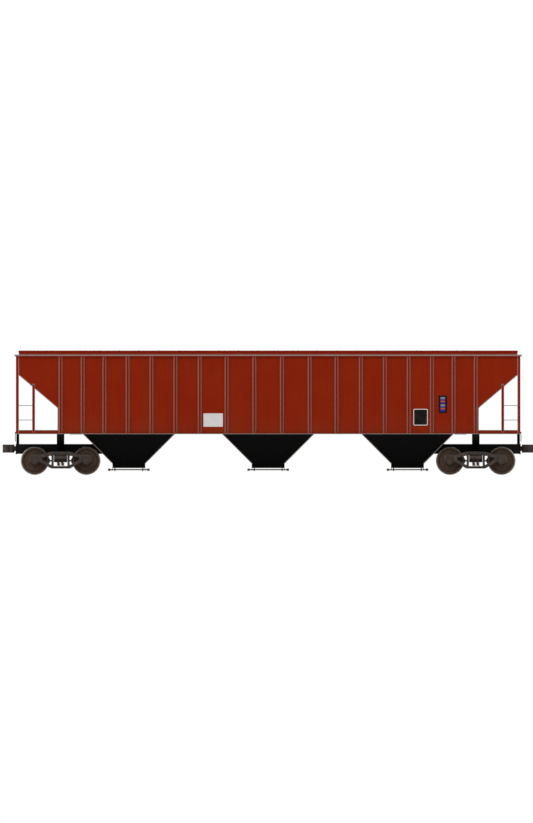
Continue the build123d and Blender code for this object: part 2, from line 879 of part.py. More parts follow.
# Trucks
frame_in = journal_y - frame_thickness / 2
frame_out = journal_y + frame_thickness / 2
column = 235.0
seat_z = 300.0
seat_reach = 70.0
spring_top = 545.0
jaw = bearing_radius + bearing_fit
jaw_wall = 69.0
jaw_end = half_wheelbase + jaw + jaw_wall
jaw_start = half_wheelbase - jaw - 63.0
jaw_low = axle_z - 53.0
jaw_top = axle_z + 207.0
frame_top = 800.0
half_outline = [
    (column + 65, frame_top),
    (jaw_start, jaw_top),
    (jaw_end - 85, jaw_top),
    (jaw_end, jaw_top - 70),
    (jaw_end, jaw_low),
    (half_wheelbase + jaw, jaw_low),
    (half_wheelbase + jaw, axle_z),
    (half_wheelbase - jaw, axle_z),
    (half_wheelbase - jaw, jaw_low),
    (jaw_start, jaw_low),
    (jaw_start - 60, jaw_low - 30),
    (column + 95, seat_z - 85),
]
frame_outline = half_outline + [(-x, z) for x, z in reversed(half_outline)]
window_in = column + 80.0
window_out = jaw_start - 60.0
window_low = axle_z + 37.0
side_window = [
    (window_in + 25, frame_top - 146),
    (window_in, frame_top - 165),
    (window_in, seat_z + 55),
    (window_in + 25, seat_z + 45),
    (window_out, window_low),
    (window_out, window_low + 70),
]
column_top = frame_top - 105.0
centre_window = [(-column, seat_z), (column, seat_z), (column, column_top), (-column, column_top)]
other_window = [(-x, z) for x, z in side_window]
windows = [centre_window, side_window, other_window]
cuts = [prism_y(outline, frame_in - 10, frame_out + 10) for outline in windows]
for x in (-half_wheelbase, half_wheelbase):
    cuts.append(rod((x, frame_in - 5, axle_z), (x, frame_out + 5, axle_z), jaw))
seat_in = frame_in - seat_reach
seat_out = frame_out + seat_reach
spring_seat = block(-column - 10, column + 10, seat_in, seat_out, seat_z - 30, seat_z)
side_frame = joined(without(prism_y(frame_outline, frame_in, frame_out), *cuts), spring_seat)

spring_radius = 66.0
spring_gap = 8.0
spring_step = spring_radius + spring_gap / 2
spring_rows = [(x, journal_y + y) for x in (-spring_step, spring_step) for y in (-spring_step, spring_step)]
springs = [prism_z(ring(x, y, spring_radius, 10), seat_z, spring_top) for x, y in spring_rows]

bowl_floor = plate_top - seat_fit
bolster_half = column - 8.0
tip_y = seat_out - 2
tip_in = seat_in - 6
truck_outline = [
    (tip_y, spring_top),
    (tip_y, bowl_floor - 20),
    (tip_in, bowl_floor),
    (-tip_in, bowl_floor),
    (-tip_y, bowl_floor - 20),
    (-tip_y, spring_top),
    (-tip_in, spring_top),
    (-500, 430),
    (500, 430),
    (tip_in, spring_top),
]
bowl_play = 3.0
bowl_wall = 32.0
bowl_inner = (plate_radius + bowl_play) / cos(pi / 24)
bowl = without(
    prism_z(ring(0, 0, bowl_inner + bowl_wall, 24), bowl_floor - 5, bowl_floor + 28),
    prism_z(ring(0, 0, bowl_inner, 24), bowl_floor, bowl_floor + 40),
)
truck_bolster = joined(prism_x(truck_outline, -bolster_half, bolster_half), bowl)
pin_hole = ring(0, 0, (centre_pin_radius + 2) / cos(pi / 12), 12)
truck_bolster = without(truck_bolster, prism_z(pin_hole, seat_z, bowl_floor + 50))
bearer_y = 640.0
bearer = [block(-60, 60, y - 90, y + 90, bowl_floor - 4, bowl_floor + 60) for y in (-bearer_y, bearer_y)]
truck_bolster = joined(truck_bolster, *bearer)

shoe_gap = 7.0
shoe_in = tread_radius + shoe_gap
shoe_out = shoe_in + 40.0
beam_x = half_wheelbase - shoe_out


def shoe(y0, y1):
    turn = radians(18)
    c = (half_wheelbase, axle_z)

    def at(radius, a):
        return (c[0] - radius * cos(a), c[1] + radius * sin(a))

    face = make_face(
        ThreePointArc(at(shoe_in, -turn), at(shoe_in, 0), at(shoe_in, turn))
        + Line(at(shoe_in, turn), at(shoe_out, turn))
        + ThreePointArc(at(shoe_out, turn), at(shoe_out, 0), at(shoe_out, -turn))
        + Line(at(shoe_out, -turn), at(shoe_in, -turn))
    )
    return extrude(Plane.XZ.offset(-y1) * face, y1 - y0).solids()[0]


shoe_y = wheel_back + 40.0
head_y = shoe_y + 45.0
beam = joined(
    block(beam_x - 65, beam_x - 8, 12 - frame_in, frame_in - 12, axle_z - 28, axle_z + 28),
    *[shoe(y0, y0 + 90) for y0 in (shoe_y, -shoe_y - 90)],
    *[block(beam_x - 20, beam_x + 12, y - 35, y + 35, axle_z - 80, axle_z + 80) for y in (head_y, -head_y)],
    *[
        block(column + 15, beam_x - 8, y0, y0 + 72, axle_z - 28, axle_z + 28)
        for y0 in (frame_in - 72, -frame_in)
    ],
)

rim_in = 395.0
plate_inset = 70.0
bearing_half = 108.0
flange_root = wheel_back + 30.0
wheel_out = wheel_back + wheel_width
half_profile = [
    (0, axle_radius),
    (wheel_back, axle_radius),
    (wheel_back, tread_radius + flange_height),
    (flange_root, tread_radius),
    (wheel_out, tread_radius),
    (wheel_out, rim_in),
    (wheel_back + plate_inset, rim_in),
    (wheel_back + plate_inset, bearing_radius),
    (journal_y + bearing_half, bearing_radius),
]
profile = [(journal_y + bearing_half, 0), (-journal_y - bearing_half, 0)]
profile += [(-y, r) for y, r in reversed(half_profile)] + half_profile[1:]
section = make_face(Polyline(*[(r, y) for y, r in profile], close=True))
wheelset = revolve(section, Axis.Y).solids()[0].moved(Location((0, 0, axle_z)))

for letter, centre in (("a", -truck_x), ("b", truck_x)):
    node(f"truck_{letter}_side_frames", moved(both_sides([side_frame]), centre))
    node(f"truck_{letter}_springs", moved(both_sides(springs), centre))
    node(f"truck_{letter}_bolster", moved([truck_bolster], centre))
    node(f"truck_{letter}_brake_beams", moved(both_ends([beam]), centre))
    for number, side in ((1, -1), (2, 1)):
        node(f"wheelset_{letter}{number}", moved([wheelset], centre + side * half_wheelbase))

for name, solids in nodes.items():
    shape = solids[0] if len(solids) == 1 else Compound(solids)
    export_step(shape, f"parts/{name}.step")
    print(name, len(solids))
print("nodes", len(nodes))
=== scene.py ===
from math import cos, pi, radians, sin, tau

import bmesh
import bpy
from mathutils import Matrix, Vector


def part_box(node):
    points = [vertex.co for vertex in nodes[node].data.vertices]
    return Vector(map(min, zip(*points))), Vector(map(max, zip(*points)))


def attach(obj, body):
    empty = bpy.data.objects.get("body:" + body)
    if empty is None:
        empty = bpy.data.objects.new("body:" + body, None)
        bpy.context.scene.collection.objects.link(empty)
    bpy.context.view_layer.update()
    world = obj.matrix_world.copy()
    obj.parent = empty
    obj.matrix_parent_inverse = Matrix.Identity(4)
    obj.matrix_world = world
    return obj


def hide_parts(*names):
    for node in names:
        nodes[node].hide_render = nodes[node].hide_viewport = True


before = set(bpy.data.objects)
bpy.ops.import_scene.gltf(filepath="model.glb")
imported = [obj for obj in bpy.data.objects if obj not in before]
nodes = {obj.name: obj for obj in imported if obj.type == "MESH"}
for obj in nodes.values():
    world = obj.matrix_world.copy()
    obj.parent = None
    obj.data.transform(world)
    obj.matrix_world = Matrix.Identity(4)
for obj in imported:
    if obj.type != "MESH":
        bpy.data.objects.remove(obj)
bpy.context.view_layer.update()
print("frame loaded:", len(nodes), "nodes")


# Finishes

def linearColour(code):
    parts = [int(code[i:i + 2], 16) / 255 for i in (1, 3, 5)]
    return tuple(p / 12.92 if p <= 0.04045 else ((p + 0.055) / 1.055) ** 2.4 for p in parts) + (1.0,)


def addNode(mat, kind, inputs=None, **settings):
    made = mat.node_tree.nodes.new(kind)
    for key, value in settings.items():
        setattr(made, key, value)
    for key, value in (inputs or {}).items():
        if isinstance(value, bpy.types.NodeSocket):
            mat.node_tree.links.new(value, made.inputs[key])
        else:
            made.inputs[key].default_value = value
    return made


def newFinish(name, metallic, roughness):
    mat = bpy.data.materials.new(name)
    mat.use_nodes = True
    shader = mat.node_tree.nodes["Principled BSDF"]
    shader.inputs["Metallic"].default_value = metallic
    shader.inputs["Roughness"].default_value = roughness
    place = addNode(mat, "ShaderNodeTexCoord")
    return mat, shader, place


def perMetre(sizeMm):
    return 1000.0 / sizeMm


def weatheredEnamel(name, look):
    # alkyd freight enamel, sprayed on sheet steel: dull gloss, chalked patches, rain streaks down it;
    # optionally painted grey highlights on post flanks and end post edges
    mat, shader, place = newFinish(name, 0.0, 0.6)
    shader.inputs["Specular IOR Level"].default_value = look["shine"]
    links = mat.node_tree.links
    spot = place.outputs["Object"]
    axes = addNode(mat, "ShaderNodeSeparateXYZ", {"Vector": spot})
    patch = addNode(mat, "ShaderNodeTexNoise",
                    {"Vector": spot, "Scale": perMetre(look["patchMm"]), "Detail": 5.0})
    chalk = addNode(mat, "ShaderNodeMapRange", {"Value": patch.outputs["Fac"], "From Min": 0.42,
                                                "From Max": 0.78, "To Min": 0.0, "To Max": look["chalk"]})
    streakSize = (perMetre(look["streakMm"]), perMetre(look["streakMm"]), perMetre(look["streakDropMm"]))
    drop = addNode(mat, "ShaderNodeMapping", {"Vector": spot, "Scale": streakSize})
    streak = addNode(mat, "ShaderNodeTexNoise",
                     {"Vector": drop.outputs["Vector"], "Scale": 1.0, "Detail": 3.0})
    run = addNode(mat, "ShaderNodeMapRange", {"Value": streak.outputs["Fac"], "From Min": 0.5,
                                              "From Max": 0.8, "To Min": 0.0, "To Max": look["streak"]})
    low = addNode(mat, "ShaderNodeMapRange", {"Value": axes.outputs["Z"], "From Min": 1.4, "From Max": 2.1,
                                              "To Min": look["dust"], "To Max": 0.0})
    dusty = addNode(mat, "ShaderNodeMath", {0: low.outputs["Result"], 1: patch.outputs["Fac"]},
                    operation="MULTIPLY")
    faded = addNode(mat, "ShaderNodeMix", {0: chalk.outputs["Result"], 6: linearColour(look["colour"]),
                                           7: linearColour(look["faded"])}, data_type="RGBA")
    wet = addNode(mat, "ShaderNodeMix", {0: run.outputs["Result"], 6: faded.outputs[2],
                                         7: linearColour(look["streakColour"])}, data_type="RGBA")
    paint = addNode(mat, "ShaderNodeMix", {0: dusty.outputs["Value"], 6: wet.outputs[2],
                                           7: linearColour(look["dustColour"])}, data_type="RGBA")
    if "below" in look:  # another paint up to a level line, such as car cement up to the sill
        under = addNode(mat, "ShaderNodeMath", {0: axes.outputs["Z"], 1: look["splitZ"]},
                        operation="LESS_THAN")
        lower = addNode(mat, "ShaderNodeMix", {0: patch.outputs["Fac"], 6: linearColour(look["below"]),
                                               7: linearColour(look["belowFaded"])}, data_type="RGBA")
        paint = addNode(mat, "ShaderNodeMix", {0: under.outputs["Value"], 6: paint.outputs[2],
                                               7: lower.outputs[2]}, data_type="RGBA")
    if "flankHighlightColour" in look:  # painted highlight: the sloped flanks of the posts, found by the normal's X, are painted grey
        facing = addNode(mat, "ShaderNodeSeparateXYZ", {"Vector": place.outputs["Normal"]})
        along = addNode(mat, "ShaderNodeMath", {0: facing.outputs["X"]}, operation="ABSOLUTE")
        flank = addNode(mat, "ShaderNodeMath", {0: along.outputs["Value"], 1: look["flankTurn"]},
                        operation="GREATER_THAN")
        paint = addNode(mat, "ShaderNodeMix", {0: flank.outputs["Value"], 6: paint.outputs[2],
                                               7: linearColour(look["flankHighlightColour"])}, data_type="RGBA")
    if "edges" in look:  # painted highlight: grey bands along the edges of the end posts, by distance from the middle of the car, on faces turned to the side
        away = addNode(mat, "ShaderNodeMath", {0: axes.outputs["X"]}, operation="ABSOLUTE")
        highlightBand = None
        for middle, half in look["edges"]:
            band = addNode(mat, "ShaderNodeMath", {0: away.outputs["Value"], 1: middle, 2: half},
                           operation="COMPARE")
            if highlightBand:
                band = addNode(mat, "ShaderNodeMath", {0: highlightBand.outputs["Value"], 1: band.outputs["Value"]},
                               operation="MAXIMUM")
            highlightBand = band
        facing = addNode(mat, "ShaderNodeSeparateXYZ", {"Vector": place.outputs["Normal"]})
        outward = addNode(mat, "ShaderNodeMath", {0: facing.outputs["Y"]}, operation="ABSOLUTE")
        faceOn = addNode(mat, "ShaderNodeMath", {0: outward.outputs["Value"], 1: look["faceTurn"]},
                         operation="GREATER_THAN")
        highlightFace = addNode(mat, "ShaderNodeMath", {0: highlightBand.outputs["Value"], 1: faceOn.outputs["Value"]},
                           operation="MULTIPLY")
        paint = addNode(mat, "ShaderNodeMix", {0: highlightFace.outputs["Value"], 6: paint.outputs[2],
                                               7: linearColour(look["edgeHighlightColour"])}, data_type="RGBA")
    links.new(paint.outputs[2], shader.inputs["Base Color"])
    gloss = addNode(mat, "ShaderNodeMapRange", {"Value": patch.outputs["Fac"], "From Min": 0.3,
                                                "From Max": 0.7, "To Min": look["gloss"],
                                                "To Max": look["gloss"] + look["glossSpread"]})
    links.new(gloss.outputs["Result"], shader.inputs["Roughness"])
    buckle = addNode(mat, "ShaderNodeTexNoise",
                     {"Vector": spot, "Scale": perMetre(look["buckleMm"]), "Detail": 1.0})
    grit = addNode(mat, "ShaderNodeTexNoise",
                   {"Vector": spot, "Scale": perMetre(look["gritMm"]), "Detail": 2.0})
    fine = addNode(mat, "ShaderNodeBump", {"Height": grit.outputs["Fac"], "Strength": 0.12,
                                           "Distance": look["gritDeepMm"] / 1000})
    wave = addNode(mat, "ShaderNodeBump", {"Height": buckle.outputs["Fac"], "Strength": 0.35,
                                           "Distance": look["buckleDeepMm"] / 1000,
                                           "Normal": fine.outputs["Normal"]})
    links.new(wave.outputs["Normal"], shader.inputs["Normal"])
    return mat


sideLook = dict(colour="#7D1C03", faded="#85280C", streakColour="#661804", dustColour="#723A24", chalk=0.45,
                streak=0.45, dust=0.28, patchMm=900, streakMm=60, streakDropMm=1500, gloss=0.5,
                glossSpread=0.18, shine=0.04, buckleMm=520, buckleDeepMm=4, gritMm=14, gritDeepMm=2)
sideEnamel = weatheredEnamel("weathered freight enamel, side sheets", sideLook)
# posts: a redder enamel, with a painted grey highlight on the sloped flanks
postLook = dict(sideLook, colour="#7D1000", faded="#821F0C", buckleMm=300, buckleDeepMm=1.5,
                flankHighlightColour="#856C62", flankTurn=0.3)
postEnamel = weatheredEnamel("weathered freight enamel, posts", postLook)
endPost = dict(middleX=8.082, half=0.0485, lap=0.100, edge=0.006, cornerX=8.588, cornerEdge=0.010)
endPostHighlightEdges = [(endPost["middleX"] + side * (endPost["half"] - endPost["edge"]), endPost["edge"])
                for side in (-1, 1)]
endPostHighlightEdges.append((endPost["cornerX"] + endPost["cornerEdge"], endPost["cornerEdge"]))
# end posts: red enamel with painted grey highlights along the post edges
endPostLook = dict(sideLook, colour="#7D1000", faded="#821F0C", buckleMm=300, buckleDeepMm=1.0,
                   edges=endPostHighlightEdges, edgeHighlightColour="#857A74", faceTurn=0.7)
endPostEnamel = weatheredEnamel("weathered freight enamel, end posts", endPostLook)
roofLook = dict(sideLook, colour="#7D1900", faded="#85341E", chalk=0.55, dust=0.0, shine=0.01, patchMm=700)
roofEnamel = weatheredEnamel("weathered freight enamel, roof", roofLook)
# painted light: the angles' red is lighter than the roof's to offset the shade they sit in under the grating
boardLightenedLook = dict(sideLook, colour="#8A1E03", faded="#8E2C12", dust=0.0, patchMm=500, buckleDeepMm=1)
boardLightenedEnamel = weatheredEnamel("weathered freight enamel, running board angles", boardLightenedLook)
# painted highlight: a pale grey enamel that stands for light caught along edges and trim
paleHighlightLook = dict(sideLook, colour="#81706C", faded="#8E8581", streakColour="#6A4A42", dust=0.0,
                    patchMm=500)
edgeHighlightEnamel = weatheredEnamel("painted highlight grey, edge bars", paleHighlightLook)
# painted highlight: the eave rail is pale grey above z 4.094 and red enamel below
eaveHighlightLook = dict(paleHighlightLook, below="#7D1C03", belowFaded="#85280C", splitZ=4.094)
eaveHighlightEnamel = weatheredEnamel("painted highlight grey over red enamel, eave rail", eaveHighlightLook)
hopperLook = dict(sideLook, colour="#030303", faded="#0D0C0B", streakColour="#110F0D", dustColour="#171412",
                  dust=0.2, chalk=0.6, gloss=0.6, shine=0.05, patchMm=500)
hopperBlack = weatheredEnamel("bituminous car cement, hoppers", hopperLook)
splitLook = dict(sideLook, below="#030303", belowFaded="#0D0C0B", splitZ=1.4, patchMm=500)
splitEnamel = weatheredEnamel("enamel over car cement at the sill line", splitLook)
chassisLook = dict(sideLook, colour="#0C0C0C", faded="#23211F", streakColour="#1A1614", dustColour="#3A332C",
                   dust=0.3, chalk=0.5, patchMm=400, gloss=0.4, buckleMm=400, buckleDeepMm=1)
blackEnamel = weatheredEnamel("black chassis enamel", chassisLook)


def hotDipZinc(name, look):
    # hot dip galvanised steel: pale crystals, dulled by weather
    mat, shader, place = newFinish(name, 0.75, 0.45)
    links = mat.node_tree.links
    spot = place.outputs["Object"]
    spangle = addNode(mat, "ShaderNodeTexVoronoi",
                      {"Vector": spot, "Scale": perMetre(look["spangleMm"]), "Randomness": 1.0})
    tint = addNode(mat, "ShaderNodeSeparateColor", {"Color": spangle.outputs["Color"]})
    crystal = addNode(mat, "ShaderNodeMix", {0: tint.outputs["Red"], 6: linearColour(look["dark"]),
                                             7: linearColour(look["pale"])}, data_type="RGBA")
    grime = addNode(mat, "ShaderNodeTexNoise",
                    {"Vector": spot, "Scale": perMetre(look["grimeMm"]), "Detail": 4.0})
    dull = addNode(mat, "ShaderNodeMapRange", {"Value": grime.outputs["Fac"], "From Min": 0.5,
                                               "From Max": 0.8, "To Min": 0.0, "To Max": look["grime"]})
    grey = addNode(mat, "ShaderNodeMix", {0: dull.outputs["Result"], 6: crystal.outputs[2],
                                          7: linearColour(look["grimeColour"])}, data_type="RGBA")
    links.new(grey.outputs[2], shader.inputs["Base Color"])
    sheen = addNode(mat, "ShaderNodeMapRange",
                    {"Value": tint.outputs["Red"], "To Min": 0.36, "To Max": 0.6})
    links.new(sheen.outputs["Result"], shader.inputs["Roughness"])
    return mat


def rustedSteel(name, look):
    # bare steel that has gone to brown mill scale, with orange rust where water stands
    mat, shader, place = newFinish(name, look["metallic"], 0.7)
    links = mat.node_tree.links
    spot = place.outputs["Object"]
    scale = addNode(mat, "ShaderNodeTexNoise",
                    {"Vector": spot, "Scale": perMetre(look["patchMm"]), "Detail": 6.0})
    rust = addNode(mat, "ShaderNodeMapRange", {"Value": scale.outputs["Fac"], "From Min": 0.45,
                                               "From Max": 0.75, "To Min": 0.0, "To Max": look["rust"]})
    skin = addNode(mat, "ShaderNodeMix", {0: rust.outputs["Result"], 6: linearColour(look["colour"]),
                                          7: linearColour(look["rustColour"])}, data_type="RGBA")
    links.new(skin.outputs[2], shader.inputs["Base Color"])
    rough = addNode(mat, "ShaderNodeMapRange", {"Value": scale.outputs["Fac"], "To Min": look["rough"],
                                                "To Max": look["rough"] + look["roughSpread"]})
    links.new(rough.outputs["Result"], shader.inputs["Roughness"])
    grain = addNode(mat, "ShaderNodeTexNoise",
                    {"Vector": spot, "Scale": perMetre(look["grainMm"]), "Detail": 3.0})
    skinBump = addNode(mat, "ShaderNodeBump", {"Height": grain.outputs["Fac"], "Strength": 0.3,
                                               "Distance": look["grainDeepMm"] / 1000})
    links.new(skinBump.outputs["Normal"], shader.inputs["Normal"])
    return mat


def rolledWheelSteel(name, axle, look):
    # rolled wheel: brown scale on the plate, tread and flange rubbed bright by the rail
    mat, shader, place = newFinish(name, 0.6, 0.5)
    links = mat.node_tree.links
    centred = addNode(mat, "ShaderNodeMapping", {"Vector": place.outputs["Object"], "Location": -axle})
    axes = addNode(mat, "ShaderNodeSeparateXYZ", {"Vector": centred.outputs["Vector"]})
    flat = addNode(mat, "ShaderNodeCombineXYZ", {"X": axes.outputs["X"], "Z": axes.outputs["Z"]})
    radius = addNode(mat, "ShaderNodeVectorMath", {0: flat.outputs["Vector"]}, operation="LENGTH")
    tread = addNode(mat, "ShaderNodeMapRange", {"Value": radius.outputs["Value"],
                                                "From Min": look["treadFrom"], "From Max": look["treadTo"]})
    scale = addNode(mat, "ShaderNodeTexNoise",
                    {"Vector": centred.outputs["Vector"], "Scale": perMetre(look["patchMm"]), "Detail": 5.0})
    plate = addNode(mat, "ShaderNodeMix", {0: scale.outputs["Fac"], 6: linearColour(look["dark"]),
                                           7: linearColour(look["brown"])}, data_type="RGBA")
    skin = addNode(mat, "ShaderNodeMix", {0: tread.outputs["Result"], 6: plate.outputs[2],
                                          7: linearColour(look["bright"])}, data_type="RGBA")
    links.new(skin.outputs[2], shader.inputs["Base Color"])
    polish = addNode(mat, "ShaderNodeMapRange",
                     {"Value": tread.outputs["Result"], "To Min": 0.68, "To Max": 0.28})
    links.new(polish.outputs["Result"], shader.inputs["Roughness"])
    return mat


zinc = hotDipZinc("hot dip galvanised steel", dict(dark="#A9AEB0", pale="#C9CCCC", spangleMm=30, grime=0.5,
                  grimeColour="#7F7E7A", grimeMm=220))
castLook = dict(colour="#2C2826", rustColour="#5A3C28", rust=0.8, patchMm=160, rough=0.6, roughSpread=0.25,
                metallic=0.2, grainMm=12, grainDeepMm=1.2)
castSteel = rustedSteel("cast steel, scaled", castLook)
grabLook = dict(castLook, colour="#484A4B", rustColour="#57493E", rust=0.5, patchMm=80, rough=0.5,
                metallic=0.1, grainMm=8, grainDeepMm=0.3)
grabSteel = rustedSteel("bare steel, weathered grab irons", grabLook)
springLook = dict(castLook, colour="#2A2422", rustColour="#5E3A22", rust=0.9, patchMm=60, rough=0.5,
                  metallic=0.3, grainMm=8, grainDeepMm=0.5)
springSteel = rustedSteel("spring steel, oiled scale", springLook)
gateLook = dict(castLook, colour="#6A6560", rustColour="#6B4630", rust=0.7, patchMm=120, rough=0.4,
                metallic=0.7, grainMm=20, grainDeepMm=0.4)
gateSteel = rustedSteel("bare gate plate, slid bright", gateLook)
wheelLook = dict(dark="#2E2622", brown="#57402F", bright="#9C9A96", patchMm=90, treadFrom=0.452,
                 treadTo=0.456)
print("finishes made")


def dress(names, mat):
    for name in names:
        for spot in nodes[name].material_slots:
            spot.material = mat


def boxMiddle(node):
    low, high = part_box(node)
    return (low + high) / 2


wheelNodes = ["wheelset_%s%d" % (letter, number) for letter in "ab" for number in (1, 2)]
dress(["side_sheets", "end_side_sheets", "side_sills", "end_sheets", "end_slope_sheets"], sideEnamel)
dress(["end_sills"], splitEnamel)
dress(["side_posts"], postEnamel)
dress(["end_posts"], endPostEnamel)
dress(["roof_sheets", "roof_end_plates", "hatch_coaming", "hatch_hinges"], roofEnamel)
dress(["hatch_lid_1", "hatch_lid_2", "hatch_lid_3", "hatch_lid_4"], roofEnamel)
dress(["eave_rails"], eaveHighlightEnamel)
dress(["ridge_caps", "outlet_chutes", "body_bolsters"], hopperBlack)
for number in (1, 2, 3):
    dress(["hopper_%d_slope_sheets" % number, "hopper_%d_side_sheets" % number], splitEnamel)
    dress(["outlet_gate_%d" % number, "gate_shaft_%d" % number], gateSteel)
dress(["running_boards", "cross_walks", "end_platforms", "end_ladders"], zinc)
dress(["grab_irons"], grabSteel)
dress(["stub_sills", "draft_gears", "air_reservoir", "brake_cylinder", "brake_valve", "hand_brake",
       "uncoupling_levers"], blackEnamel)
dress(["coupler_a", "coupler_b", "knuckle_a", "knuckle_b"], castSteel)
for truck in ("truck_a", "truck_b"):
    dress([truck + "_side_frames", truck + "_bolster", truck + "_brake_beams"], castSteel)
    dress([truck + "_springs"], springSteel)
for node in wheelNodes:
    dress([node], rolledWheelSteel("rolled wheel steel " + node[-2:], boxMiddle(node), wheelLook))
print("nodes dressed")


# Pieces

def addBar(bm, low, high):
    size = [b - a for a, b in zip(low, high)]
    middle = [(a + b) / 2 for a, b in zip(low, high)]
    place = Matrix.Translation(middle) @ Matrix.Diagonal((*size, 1.0))
    return bmesh.ops.create_cube(bm, size=1.0, matrix=place)["verts"]


def addRound(bm, centre, axis, radius, depth, sides=10):
    turn = Vector((0, 0, 1)).rotation_difference(Vector(axis)).to_matrix().to_4x4()
    place = Matrix.Translation(centre) @ turn
    bmesh.ops.create_cone(bm, cap_ends=True, segments=sides, radius1=radius, radius2=radius, depth=depth,
                          matrix=place)


def sideSpan(side, near, far):
    # the two ends of a length on one side of the car, lowest first
    return sorted((side * near, side * far))


def edgesOf(verts):
    return list(dict.fromkeys(e for v in verts for e in v.link_edges))


def softenEdges(bm, edges, width, segments=2):
    bmesh.ops.bevel(bm, geom=edges, offset=width, offset_type="OFFSET", segments=segments, profile=0.5,
                    affect="EDGES", material=-1, clamp_overlap=True)


def cutAcross(bm, spot, facing):
    bmesh.ops.bisect_plane(bm, geom=bm.verts[:] + bm.edges[:] + bm.faces[:], plane_co=spot, plane_no=facing)


def keepPiece(bm, name, body, mats):
    bmesh.ops.recalc_face_normals(bm, faces=bm.faces[:])
    mesh = bpy.data.meshes.new(name)
    bm.to_mesh(mesh)
    bm.free()
    piece = bpy.data.objects.new(name, mesh)
    bpy.context.scene.collection.objects.link(piece)
    for mat in mats:
        mesh.materials.append(mat)
    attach(piece, body)
    return piece


def latheProfile(bm, profile, place, steps, mergeGap=0.00002):
    # profile is (radius, along) pairs, turned about the local Z axis, then put in its place in bm
    lathe = bmesh.new()
    chain = [lathe.verts.new((radius, 0, along)) for radius, along in profile]
    edges = [lathe.edges.new(pair) for pair in zip(chain, chain[1:])]
    bmesh.ops.spin(lathe, geom=chain + edges, cent=(0, 0, 0), axis=(0, 0, 1), angle=tau, steps=steps,
                   use_merge=True)
    bmesh.ops.remove_doubles(lathe, verts=lathe.verts[:], dist=mergeGap)
    bmesh.ops.transform(lathe, matrix=place, verts=lathe.verts[:])
    turned = bpy.data.meshes.new("turned")
    lathe.to_mesh(turned)
    lathe.free()
    bm.from_mesh(turned)
    bpy.data.meshes.remove(turned)


def smoothRound(piece, angle=35):
    for face in piece.data.polygons:
        face.use_smooth = True
    piece.data.set_sharp_from_angle(angle=radians(angle))


# Castings and pressed posts with rounded corners
casting = dict(weldGap=0.00005, flatAngle=1.0, cornerAngle=32, sliver=0.00002)
rounded = [  # node, body, slot, finish and width of the rounding
    ("coupler_a", "coupler_a", "cast_steel", castSteel, 0.012),
    ("coupler_b", "coupler_b", "cast_steel", castSteel, 0.012),
    ("knuckle_a", "knuckle_a", "cast_steel", castSteel, 0.012),
    ("knuckle_b", "knuckle_b", "cast_steel", castSteel, 0.012),
    ("truck_a_side_frames", "truck_a", "cast_steel", castSteel, 0.014),
    ("truck_b_side_frames", "truck_b", "cast_steel", castSteel, 0.014),
    ("truck_a_bolster", "truck_a", "cast_steel", castSteel, 0.012),
    ("truck_b_bolster", "truck_b", "cast_steel", castSteel, 0.012),
    ("side_posts", "car_body", "body_paint", postEnamel, 0.005),
    ("brake_cylinder", "car_body", "black_paint", blackEnamel, 0.008),
    ("brake_valve", "car_body", "black_paint", blackEnamel, 0.010),
]
for node, body, slotName, mat, width in rounded:
    bm = bmesh.new()
    bm.from_mesh(nodes[node].data)
    bmesh.ops.remove_doubles(bm, verts=bm.verts[:], dist=casting["weldGap"])
    bmesh.ops.dissolve_limit(bm, angle_limit=radians(casting["flatAngle"]), verts=bm.verts[:],
                             edges=bm.edges[:], use_dissolve_boundaries=False)
    corners = [e for e in bm.edges
               if len(e.link_faces) == 2 and e.calc_face_angle() > radians(casting["cornerAngle"])]
    softenEdges(bm, corners, width)
    bmesh.ops.dissolve_degenerate(bm, dist=casting["sliver"], edges=bm.edges[:])
    bmesh.ops.triangulate(bm, faces=[f for f in bm.faces if len(f.verts) > 4])
    piece = keepPiece(bm, node + "_rounded", body, [mat])
    smoothRound(piece)
    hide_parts(node)
print("castings and posts rounded")

# Wheel plates and hubs, and the end caps of the bearings with their bolts
wheel = dict(steps=48, plate=((0.394, 0.746), (0.385, 0.756), (0.340, 0.762), (0.270, 0.764), (0.205, 0.772),
                              (0.168, 0.792), (0.154, 0.820), (0.150, 0.838), (0.142, 0.844), (0.1255, 0.844),
                              (0.1255, 0.746), (0.394, 0.746)))
cap = dict(steps=32, radius=0.098, thick=0.022, edge=0.012, lap=0.001, bolts=3, boltCircle=0.058,
           boltRadius=0.016, boltLong=0.016, boltOut=0.007, boltSides=6)
for node in wheelNodes:
    axle = boxMiddle(node)
    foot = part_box(node)[1].y - cap["lap"]
    top = foot + cap["lap"] + cap["thick"]
    capProfile = [(0.0, top), (cap["radius"] - cap["edge"], top), (cap["radius"], top - cap["edge"]),
                  (cap["radius"], foot), (0.0, foot)]
    plateMesh = bmesh.new()
    capMesh = bmesh.new()
    for side in (-1, 1):
        across = Matrix.Translation(axle) @ Matrix.Rotation(-side * pi / 2, 4, "X")
        latheProfile(plateMesh, wheel["plate"], across, wheel["steps"])
        latheProfile(capMesh, capProfile, across, cap["steps"])
        for turn in range(cap["bolts"]):
            angle = tau * turn / cap["bolts"] + pi / 2
            bolt = Vector((cos(angle), 0, sin(angle))) * cap["boltCircle"]
            bolt.y = side * (top + cap["boltOut"])
            addRound(capMesh, axle + bolt, (0, 1, 0), cap["boltRadius"], cap["boltLong"], cap["boltSides"])
    wheelFinish = nodes[node].material_slots[0].material
    smoothRound(keepPiece(plateMesh, node + "_plates", node, [wheelFinish]))
    smoothRound(keepPiece(capMesh, node + "_caps", node, [castSteel]))
print("wheel plates and bearing caps made")

